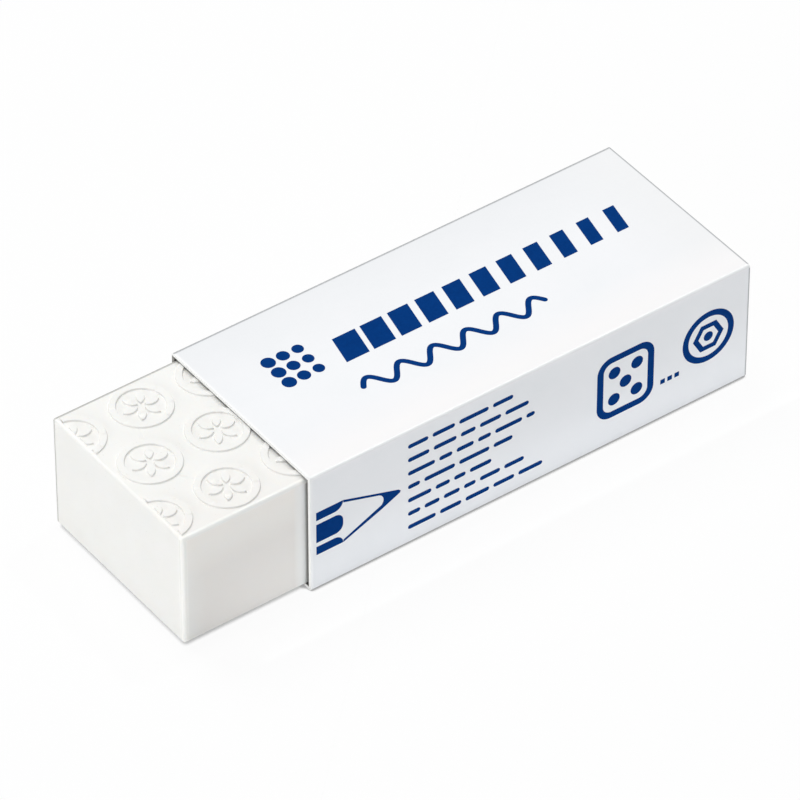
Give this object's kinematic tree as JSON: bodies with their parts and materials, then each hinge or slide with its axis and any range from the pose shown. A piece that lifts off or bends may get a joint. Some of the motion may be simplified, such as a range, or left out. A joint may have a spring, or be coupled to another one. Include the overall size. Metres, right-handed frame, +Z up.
{
  "type": "vinyl eraser",
  "caption": "White vinyl eraser block with a raised rosette relief on its top, held in an open-ended folded card sleeve that slides along it.",
  "frame": {"origin": "middle of the base of the whole object, on the sleeve's underside", "axes": "+X along the block from its bare end towards its covered end, +Y towards the sleeve's glued wall, +Z up"},
  "size_m": [0.0654, 0.0226, 0.0141],
  "materials": {
    "vinyl": "satin",
    "card": "satin"
  },
  "bodies": {
    "block": {"eraser_block": "vinyl"},
    "card_sleeve": {"sleeve": "card"}
  },
  "joints": [
    {"name": "sleeve_slide", "type": "slide", "parent": "block", "child": "card_sleeve", "axis": [1, 0, 0], "range_m": [-0.066, 0.0516]}
  ]
}
